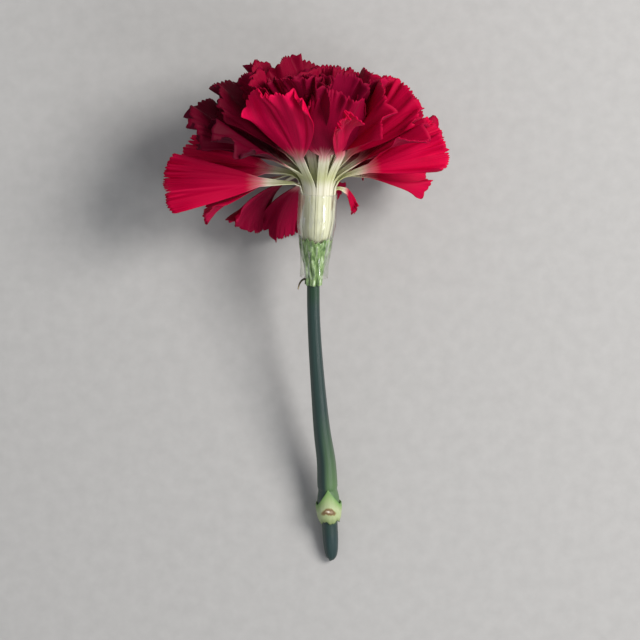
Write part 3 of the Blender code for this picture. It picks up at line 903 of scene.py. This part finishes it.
def calyx_material():
    """Crumpled calyx skin, wet under the film: mottled green with painted shade in its hollows, painted
    highlights on its ridges, and a clear coat.
    """
    looks, tree = new_material("wrinkled_green_calyx")
    lie = map_of(tree)[0]
    scale = (CALYX_GIRTH / MOTTLE_WIDTH, CALYX_HEIGHT / MOTTLE_LENGTH, 1.0)
    stretched = add(tree, "ShaderNodeVectorMath", {0: lie, 1: scale}, operation="MULTIPLY")
    mottle = add(
        tree, "ShaderNodeTexNoise", {"Vector": stretched, "Scale": 1.0, "Detail": 5.0, "Roughness": 0.65}
    )
    # Painted shade and painted highlights: the ramp darkens the hollows of the crumples and whitens their
    # ridges, over the real green mottle.
    colour = add(tree, "ShaderNodeValToRGB", {"Fac": mottle}, stops=MOTTLE_SHADE_AND_HIGHLIGHT_STOPS)
    bump = add(tree, "ShaderNodeBump", {"Height": mottle, "Strength": 0.8, "Distance": 0.6 * MM})
    wet = {"Base Color": colour, "Roughness": 0.28, "Coat Weight": 0.6, "Coat Roughness": 0.1, "Normal": bump}
    skin = add(tree, "ShaderNodeBsdfPrincipled", wet)
    add(tree, "ShaderNodeOutputMaterial", {"Surface": skin})
    return looks


calyx_skin = calyx_material()
print("calyx material:", calyx_skin.name, "with", len(calyx_skin.node_tree.nodes), "nodes")

# %% Build the calyx
CALYX_COURSE = ((-12.9, 4.5), (-15.8, 4.0), (-20.0, 2.9), (-24.0, 2.25), (-26.6, 2.1))
CALYX_AROUND, CALYX_ROWS = 96, 44
CALYX_THICKNESS = 0.35 * MM

calyx_top, calyx_end = CALYX_COURSE[0][0], CALYX_COURSE[-1][0]
around_calyx = np.arange(CALYX_AROUND) / CALYX_AROUND * 2 * math.pi
share = np.linspace(0, 1, CALYX_ROWS)[:, None]
torn = calyx_top - 0.9 * (0.5 + 0.5 * np.sin(5 * around_calyx + 0.7)) - 0.4 * np.sin(17 * around_calyx)
levels = torn + (calyx_end - torn) * share
creases = 0.20 * np.sin(7 * around_calyx + 3 * share) + 0.14 * np.sin(13 * around_calyx + 7 * share + 1)
radii = radius_at(CALYX_COURSE, levels) - 0.05 + 0.2 * (1 - share) + creases * smooth(share * 6)
points = np.stack([radii * np.cos(around_calyx), levels, radii * np.sin(around_calyx)], -1) * MM
mesh = grid_mesh("calyx_base", to_world(points), around_calyx / (2 * math.pi), share[:, 0], around=True)
piece("show_calyx_base", mesh, "calyx_base", (calyx_skin,), CALYX_THICKNESS)

# %% [markdown]
# ## The clear tape
#
# A clear film holds the bundle. It is smooth where it is tight round the claws and wrinkles where it is
# gathered over the calyx. A glass material could stand for it, but a film this thin hardly bends light
# and would only come out dark. So nearly all of it is transparent, and a sharp gloss is mixed in where
# it is seen edge on and along its creases.

# %% The tape's material
TAPE_GIRTH, CREASE_WIDTH = 34.2, 1.9
TAPE_LENGTH, CREASE_LENGTH = 25.0, 10.0
CREASE_STOPS = ((0.56, BLACK), (0.62, "#8a8a8a"), (0.68, BLACK))


def tape_material():
    """Clear plastic film: nearly all the light goes through, and its skin is smooth and shiny."""
    looks, tree = new_material("clear_tape_film")
    lie = map_of(tree)[0]
    scale = (TAPE_GIRTH / CREASE_WIDTH, TAPE_LENGTH / CREASE_LENGTH, 1.0)
    stretched = add(tree, "ShaderNodeVectorMath", {0: lie, 1: scale}, operation="MULTIPLY")
    wrinkles = add(tree, "ShaderNodeTexNoise", {"Vector": stretched, "Scale": 1.0, "Detail": 2.0})
    bump = add(tree, "ShaderNodeBump", {"Height": wrinkles, "Strength": 0.6, "Distance": 0.5 * MM})
    clear = add(tree, "ShaderNodeBsdfTransparent", {"Color": linear("#fdfefb")})
    shiny = {"Color": linear(WHITE), "Roughness": 0.16, "Normal": bump}
    gloss = add(tree, "ShaderNodeBsdfAnisotropic", shiny)
    edge_on = add(tree, "ShaderNodeLayerWeight", {"Blend": 0.25, "Normal": bump}, output="Fresnel")
    half = add(tree, "ShaderNodeMath", {0: edge_on, 1: 0.5}, operation="MULTIPLY")
    creases = add(tree, "ShaderNodeValToRGB", {"Fac": wrinkles}, stops=CREASE_STOPS)
    share = add(tree, "ShaderNodeMath", {0: half, 1: creases}, operation="ADD")
    film = add(tree, "ShaderNodeMixShader", {0: share, 1: clear, 2: gloss})
    add(tree, "ShaderNodeOutputMaterial", {"Surface": film})
    return looks


tape_skin = tape_material()
print("tape material:", tape_skin.name, "with", len(tape_skin.node_tree.nodes), "nodes")

# %% Build the tape
TAPE_COURSE = ((0.0, 5.6), (-9.5, 5.6), (-12.8, 5.0), (-19.0, 4.1), (-24.3, 3.9))
TAPE_AROUND, TAPE_ROWS = 72, 60
TAPE_THICKNESS = 0.12 * MM

tape_end = TAPE_COURSE[-1][0]
around_tape = np.arange(TAPE_AROUND) / TAPE_AROUND * 2 * math.pi
level = np.linspace(0, tape_end, TAPE_ROWS)[:, None]
gather = smooth((-level - 8) / 8)  # the film is tight for 8 mm and fully gathered 8 mm further down
wrinkle = 0.16 * np.sin(7 * around_tape + 0.25 * level) + 0.10 * np.sin(13 * around_tape - 0.5 * level)
radii = radius_at(TAPE_COURSE, level) - 0.12 + wrinkle * gather
points = np.stack([radii * np.cos(around_tape), level + 0 * radii, radii * np.sin(around_tape)], -1) * MM
places = level[:, 0] / tape_end
mesh = grid_mesh("clear_tape_sleeve", to_world(points), around_tape / (2 * math.pi), places, around=True)
piece("show_clear_tape_sleeve", mesh, "clear_tape_sleeve", (tape_skin,), TAPE_THICKNESS)

# %% [markdown]
# ## The scrap of bract
#
# One torn scrap hooks out below the tape: dark, dry, with a pale tip. It is a small cupped sheet along
# a hooked line whose knots are (out to the left, forwards, half width) in millimetres.

# %% The scrap
SCRAP_COURSE = ((2.3, -24.9, 0.9), (3.3, -25.3, 0.9), (4.0, -26.4, 0.7), (4.3, -28.1, 0.25))
SCRAP_CUP = 0.25
SCRAP_THICKNESS = 0.3 * MM


def scrap_material():
    """Dried bract: dull and papery, green at its root, brown further out and bleached at its tip."""
    looks, tree = new_material("dry_bract")
    lie, _, along = map_of(tree)
    grain = add(tree, "ShaderNodeTexNoise", {"Vector": lie, "Scale": 9.0, "Detail": 4.0})
    dried = ((0.0, "#3b4a2a"), (0.7, "#4a3d28"), (0.9, "#b9ab86"))
    body = add(tree, "ShaderNodeValToRGB", {"Fac": along}, stops=dried)
    specks = add(tree, "ShaderNodeMath", {0: grain, 1: 0.5}, operation="MULTIPLY")
    specked = {0: specks, 6: body, 7: linear("#2a2a1c")}
    colour = add(tree, "ShaderNodeMix", specked, output=2, data_type="RGBA")
    skin = add(tree, "ShaderNodeBsdfPrincipled", {"Base Color": colour, "Roughness": 0.6})
    add(tree, "ShaderNodeOutputMaterial", {"Surface": skin})
    return looks


course = through(SCRAP_COURSE, 6)
side = np.linspace(-1, 1, 13)
cup = SCRAP_CUP * side**2
left = -course[:, :1] + cup * course[:, 2:]
points = np.stack([left, course[:, 1:2] + 0 * side, course[:, 2:] * side], -1) * MM
mesh = grid_mesh("bract_scrap", to_world(points), side / 2 + 0.5, np.linspace(0, 1, len(course)))
piece("show_bract_scrap", mesh, "bract_scrap", (scrap_material(),), SCRAP_THICKNESS)

# %% [markdown]
# ## The table, the light and the camera
#
# The flower lies on a plain pale surface. One large soft light stands to the right and a little beyond
# the head, so the shadows fall to the left with blurred edges, and a bright room fills them. A small
# weak light nearer to the stem gives the film and the stem their gloss. The camera looks straight down
# through a long lens, which keeps the head and the stem in true proportion.

# %% The table
TABLE_REACH = 1.5
GRAINS_IN_A_METRE = 260.0


def floor_material():
    """Painted board: matt, with a mottle of about 4 mm that is almost too faint to see."""
    looks, tree = new_material("pale_table")
    spot = add(tree, "ShaderNodeTexCoord", {}, output="Object")
    mottle = add(tree, "ShaderNodeTexNoise", {"Vector": spot, "Scale": GRAINS_IN_A_METRE, "Detail": 5.0})
    colour = add(tree, "ShaderNodeValToRGB", {"Fac": mottle}, stops=((0.3, "#a9a9a8"), (0.7, "#afafae")))
    skin = add(tree, "ShaderNodeBsdfPrincipled", {"Base Color": colour, "Roughness": 0.7})
    add(tree, "ShaderNodeOutputMaterial", {"Surface": skin})
    return looks


mesh = bpy.data.meshes.new("table")
corners = [(-1, -1), (1, -1), (1, 1), (-1, 1)]
mesh.from_pydata([(x * TABLE_REACH, y * TABLE_REACH, surface) for x, y in corners], [], [(0, 1, 2, 3)])
mesh.materials.append(floor_material())
floor = bpy.data.objects.new("table", mesh)
bpy.context.scene.collection.objects.link(floor)
print("table at height", round(surface, 5))

# %% The lights
LIT_SPOT = Vector((0, 0.02, 0.02))


def soft_light(name, place, size, power, colour):
    """A round area light that faces the flower. place and size are in metres, power is in watts."""
    lamp = bpy.data.lights.new(name, "AREA")
    lamp.shape = "DISK"
    lamp.size = size
    lamp.energy = power
    lamp.color = linear(colour)[:3]
    made = bpy.data.objects.new(name, lamp)
    bpy.context.scene.collection.objects.link(made)
    made.location = place
    made.rotation_euler = (LIT_SPOT - Vector(place)).to_track_quat("-Z", "Y").to_euler()


soft_light("key_light", (0.62, 0.27, 0.76), 0.5, 10.5, "#fffaf6")
soft_light("fill_light", (0.53, -0.35, 0.64), 0.30, 1.6, WHITE)
room = bpy.data.worlds.new("room")
room.use_nodes = True
walls = room.node_tree.nodes["Background"].inputs
walls["Color"].default_value = linear("#eceef2")
walls["Strength"].default_value = 0.45
bpy.context.scene.world = room
bpy.context.scene.view_settings.view_transform = "Standard"
print("lights:", len(bpy.data.lights), "and the room")

# %% The camera
CAMERA_PLACE = (0.0033, -0.0018, 0.8)
LENS_LENGTH, SENSOR_WIDTH = 153.4, 36.0

lens = bpy.data.cameras.new("camera")
lens.lens = LENS_LENGTH
lens.sensor_width = SENSOR_WIDTH
camera = bpy.data.objects.new("camera", lens)
bpy.context.scene.collection.objects.link(camera)
camera.location = CAMERA_PLACE
bpy.context.scene.camera = camera
print("camera over", CAMERA_PLACE)
